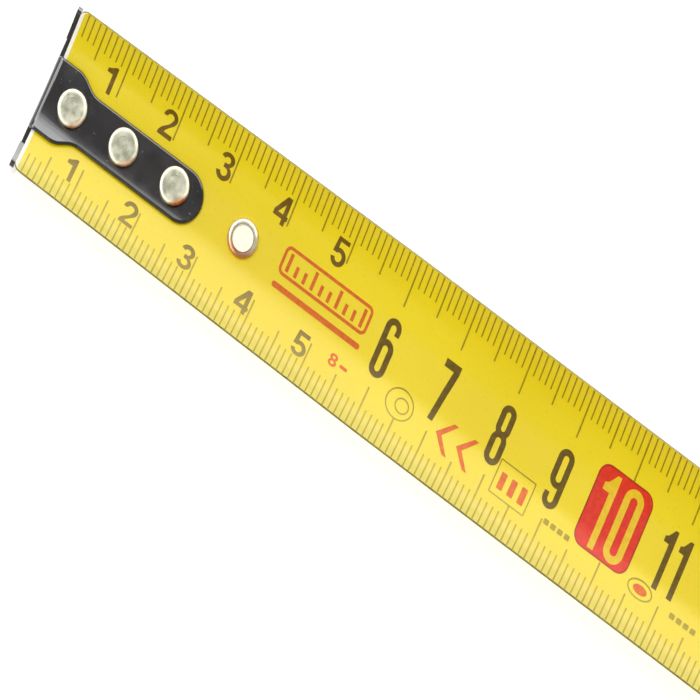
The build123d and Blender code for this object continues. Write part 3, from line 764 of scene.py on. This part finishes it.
def frame_line(x_from, x_to, y_from, y_to, corner, line):
    """A line round a rounded box: its outer and inner outline."""
    outer = box(x_from, x_to, y_from, y_to, corner)
    inner_corner = max(corner - line, 0.05)
    return [outer, box(x_from + line, x_to - line, y_from + line, y_to - line, inner_corner)]


def ring(x, y, radius_x, radius_y, line):
    outer = circle(x * MM, y * MM, radius_x * MM, radius_y * MM)
    return [outer, circle(x * MM, y * MM, (radius_x - line) * MM, (radius_y - line) * MM)]


def chevron(x, y, width, height, line):
    """A plain arrowhead that points to the hook."""
    top, low = y + height / 2, y - height / 2
    points = [
        (x + width, top), (x, y), (x + width, low), (x + width + line, low), (x + 1.3 * line, y),
        (x + width + line, top),
    ]
    return [(px * MM, py * MM) for px, py in points]


tip_digits = printed("small_digits_tip", small_digits(range(1, 5)), DARK_INK)
run_small = printed("small_digits_run", small_digits([5]), DARK_INK)
run_big = printed("big_digits_run", big_digits([6, 7, 8, 9, 11, 12, 13, 14]), BIG_INK)



def end_margin_outline(start, end, corner, field_corner):
    """The unprinted end of the strip; the yellow field next to it has rounded corners."""
    half = BLADE_HALF_ARC - 0.02 * MM
    inner = [
        (end + field_corner * (1 - math.cos(a)), half - field_corner * (1 - math.sin(a)))
        for a in QUARTER_TURN
    ]
    upper = inner + end_corner(start, half, corner)
    return upper + [(x, -y) for x, y in reversed(upper)]


margin_outline = end_margin_outline(BLADE_START + 0.02 * MM, 1.22 * MM, END_CORNER, 0.7 * MM)
margin = printed("end_margin", [margin_outline], WHITE_INK)

ten_box = printed("ten_box", [box(94.8, 103.95, -5.4, 5.4, 1.7)], RED_INK)
ten_line_outlines = frame_line(94.8, 103.95, -5.4, 5.4, 1.7, 0.2)
ten_line = printed("ten_box_line", ten_line_outlines, BROWN_RED_INK, INK_HEIGHT)
ten_outlines = []
add_digit(ten_outlines, 1, 98.3, -0.07, 2.1, 9.6, 0.97, 1.0)
add_digit(ten_outlines, 0, 102.65, -0.07, 3.1, 9.6, 0.98, 1.0)
ten_digits = printed("ten_digits", ten_outlines, YELLOW_INK, INK_HEIGHT)


def rule_mark():
    """A plain picture of a rule, with bars on its lower line, and a stripe under it."""
    outlines = frame_line(41.2, 56.4, -0.75, 3.0, 0.9, 0.42)
    for i in range(10):
        outlines.append(box(42.2 + 1.42 * i, 42.72 + 1.42 * i, -0.05, 1.35 if i % 3 else 2.3))
    outlines.append(box(41.2, 56.4, -2.55, -1.8, 0.35))
    return outlines


ORANGE_MARKS = rule_mark()
RED_MARKS = [chevron(71.2, -4.75, 2.1, 4.4, 0.75), chevron(74.7, -4.75, 2.1, 4.4, 0.75)]
RED_MARKS += [box(82.2 + 1.75 * i, 83.15 + 1.75 * i, -5.95, -3.65, 0.15) for i in range(3)]
RED_MARKS.append(circle(106.7 * MM, -5.25 * MM, 1.15 * MM, 0.62 * MM))
RED_MARKS.append(box(54.9, 56.2, -5.85, -5.4, 0.2))
add_digit(RED_MARKS, 8, 54.4, -5.55, 1.35, 1.75, 0.38, 0.32)
BROWN_MARKS = ring(64.95, -4.9, 2.28, 2.08, 0.2) + ring(65.35, -4.9, 1.15, 1.05, 0.2)
BROWN_MARKS += frame_line(81.35, 87.4, -7.0, -2.3, 0.2, 0.18)
BROWN_MARKS += ring(106.7, -5.25, 2.05, 1.28, 0.22)
BROWN_MARKS += [box(90.3 + 1.18 * i, 91.15 + 1.18 * i, -5.95, -5.2, 0.15) for i in range(4)]
BROWN_MARKS += [box(111.9 + 1.18 * i, 112.75 + 1.18 * i, -5.85, -5.1, 0.15) for i in range(4)]
orange_marks = printed("orange_marks", ORANGE_MARKS, ORANGE_INK)
red_marks = printed("red_marks", RED_MARKS, FADED_RED_INK)
brown_marks = printed("brown_marks", BROWN_MARKS, FINE_INK)

TIP_PIECES = (tip, tip_ticks, tip_digits, margin)
MARKS = (orange_marks, red_marks, brown_marks)
RUN_PIECES = (run, run_ticks, run_small, run_big, ten_box, ten_line, ten_digits) + MARKS
for piece in TIP_PIECES:
    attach(piece, "blade")
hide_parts("blade")
for piece in RUN_PIECES:
    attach(piece, "case")
    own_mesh(piece)


# ---- camera, light and floor ------------------------------------------------------------------------
def make_camera():
    """A long lens nearly straight over the blade's end, leaning a little to its near edge.
    The picture it matches is squeezed sideways to three quarters, so the camera's frame is sheared
    by its parent: its upward axis leans back, which makes heights in the picture 4/3 of widths."""
    squeeze = 0.75
    distance = 4.0
    turn = Euler([math.radians(a) for a in (5.850, 0.480, 29.788)], "XYZ").to_matrix()
    right, up, back = turn.col
    target = Vector((ZERO_X + 60 * MM, 0, SURFACE_Z))
    place = target + turn @ Vector((-5.54 * MM, -0.28 * MM, distance))
    leaning = squeeze * up + math.sqrt(1 - squeeze**2) * back
    sheared = Matrix((right, leaning, back)).transposed().to_4x4()
    sheared.translation = place
    camera = bpy.data.objects.new("camera", bpy.data.cameras.new("camera"))
    stand = bpy.data.objects.new("camera_stand", None)
    for thing in (camera, stand):
        bpy.context.scene.collection.objects.link(thing)
    camera.parent = stand
    camera.matrix_parent_inverse = sheared
    camera.data.sensor_width = 36
    camera.data.lens = 26435 * 36 / 700
    camera.data.clip_end = 20
    bpy.context.scene.camera = camera


def make_light(name, place, aim, width, height, power, shine=True, diffuse=True):
    """A soft box; with shine off it lights surfaces without being mirrored in them."""
    data = bpy.data.lights.new(name, "AREA")
    data.shape = "RECTANGLE"
    data.size, data.size_y = width, height
    data.energy = power
    light = bpy.data.objects.new(name, data)
    light.location = place
    light.rotation_mode = "QUATERNION"
    light.rotation_quaternion = (Vector(aim) - Vector(place)).to_track_quat("-Z", "Y")
    light.visible_glossy = shine
    light.visible_diffuse = diffuse
    bpy.context.scene.collection.objects.link(light)


def make_floor():
    """A pale floor that glows a little, as a lit table does, so that the shadow on it stays faint."""
    mesh = bpy.data.meshes.new("floor")
    bm = bmesh.new()
    bmesh.ops.create_circle(bm, cap_ends=True, segments=96, radius=4.0)
    bm.to_mesh(mesh)
    bm.free()
    floor = bpy.data.objects.new("floor", mesh)
    floor.location = (0, 0, -0.0002)
    finish = Finish("floor_paint", roughness=0.8, specular=0.2)
    tones = [(0.3, srgb(196, 196, 196)), (0.7, srgb(200, 200, 200))]
    finish.colour(finish.ramp(finish.noise(8, 2.0), tones))
    finish.shader.inputs["Emission Color"].default_value = grey(1)
    finish.shader.inputs["Emission Strength"].default_value = 0.66
    mesh.materials.append(finish.material)
    bpy.context.scene.collection.objects.link(floor)


def make_world():
    """Soft grey light from above, and a white band round the horizon, past the floor's far edge."""
    world = bpy.data.worlds.new("studio")
    world.use_nodes = True
    nodes, links = world.node_tree.nodes, world.node_tree.links
    place = nodes.new("ShaderNodeTexCoord")
    split = nodes.new("ShaderNodeSeparateXYZ")
    band = nodes.new("ShaderNodeValToRGB")
    band.color_ramp.elements[0].position = 0.16
    band.color_ramp.elements[0].color = grey(0.95)
    band.color_ramp.elements[1].position = 0.30
    band.color_ramp.elements[1].color = grey(0.34)
    links.new(place.outputs["Generated"], split.inputs["Vector"])
    links.new(split.outputs["Z"], band.inputs["Fac"])
    links.new(band.outputs["Color"], nodes["Background"].inputs["Color"])
    bpy.context.scene.world = world


AIM = (ZERO_X + 0.08, 0, 0.01)
make_camera()
make_world()
make_floor()
HOOK_AIM = (ZERO_X, 0, 0.01)
make_light("overhead", (AIM[0], 0.12, 1.6), AIM, 1.4, 1.4, 18.9, shine=False)
make_light("side_shine", (AIM[0], 0.8, 0.56), (AIM[0], 0, 0.56), 1.6, 1.12, 27, diffuse=False)
make_light("side_shine_middle", (AIM[0], 0.8, 1.22), (AIM[0], 0, 1.22), 1.6, 0.2, 3.4, diffuse=False)
make_light("side_shine_top", (AIM[0], 0.8, 1.43), (AIM[0], 0, 1.43), 1.6, 0.22, 2.0, diffuse=False)
make_light("front_shine", (-0.85, -0.15, 0.9), HOOK_AIM, 2.1, 0.9, 24, diffuse=False)
bpy.context.scene.view_settings.view_transform = "Standard"
